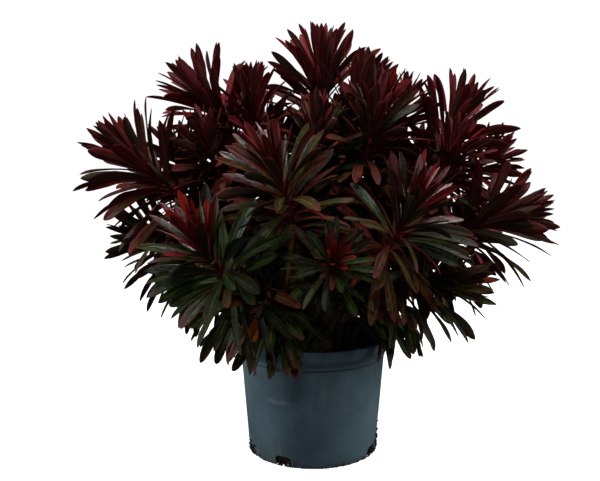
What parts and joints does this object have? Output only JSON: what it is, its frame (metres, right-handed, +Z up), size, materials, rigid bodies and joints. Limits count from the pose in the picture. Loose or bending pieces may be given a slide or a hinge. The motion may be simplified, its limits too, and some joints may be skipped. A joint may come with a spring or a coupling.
{
  "type": "potted euphorbia",
  "caption": "Bushy euphorbia with whorls of narrow dark red and green leaves on upright stems, rooted in peat soil in a round plastic nursery pot with a broad rim.",
  "frame": {"origin": "middle of the pot's flat foot, on the surface that the pot stands on", "axes": "+Z up along the pot's axis, -Y towards the plant's front, +X to the right seen from the front"},
  "size_m": [0.5058, 0.4421, 0.462],
  "materials": {
    "pot_plastic": "satin blue-grey polypropylene, dusty, with dried soil at the foot",
    "peat_soil": "damp dark peat with pale fibres and bark crumbs",
    "stem_bark": "smooth reddish brown young bark with leaf scars",
    "leaf_blade": "waxy leaf, dark wine red when young, dark green with red margins when old"
  },
  "bodies": {
    "root": {"pot": "pot_plastic", "soil": "peat_soil", "stem_01": "stem_bark", "leaves_01": "leaf_blade", "stem_02": "stem_bark", "leaves_02": "leaf_blade", "stem_03": "stem_bark", "leaves_03": "leaf_blade", "stem_04": "stem_bark", "leaves_04": "leaf_blade", "stem_05": "stem_bark", "leaves_05": "leaf_blade", "stem_06": "stem_bark", "leaves_06": "leaf_blade", "stem_07": "stem_bark", "leaves_07": "leaf_blade", "stem_08": "stem_bark", "leaves_08": "leaf_blade", "stem_09": "stem_bark", "leaves_09": "leaf_blade", "stem_10": "stem_bark", "leaves_10": "leaf_blade", "stem_11": "stem_bark", "leaves_11": "leaf_blade", "stem_12": "stem_bark", "leaves_12": "leaf_blade", "stem_13": "stem_bark", "leaves_13": "leaf_blade", "stem_14": "stem_bark", "leaves_14": "leaf_blade", "stem_15": "stem_bark", "leaves_15": "leaf_blade", "stem_16": "stem_bark", "leaves_16": "leaf_blade", "stem_17": "stem_bark", "leaves_17": "leaf_blade", "stem_18": "stem_bark", "leaves_18": "leaf_blade", "stem_19": "stem_bark", "leaves_19": "leaf_blade", "stem_20": "stem_bark", "leaves_20": "leaf_blade", "stem_21": "stem_bark", "leaves_21": "leaf_blade", "stem_22": "stem_bark", "leaves_22": "leaf_blade", "stem_23": "stem_bark", "leaves_23": "leaf_blade", "stem_24": "stem_bark", "leaves_24": "leaf_blade", "stem_25": "stem_bark", "leaves_25": "leaf_blade", "stem_26": "stem_bark", "leaves_26": "leaf_blade", "stem_27": "stem_bark", "leaves_27": "leaf_blade", "stem_28": "stem_bark", "leaves_28": "leaf_blade", "stem_29": "stem_bark", "leaves_29": "leaf_blade"}
  },
  "joints": []
}
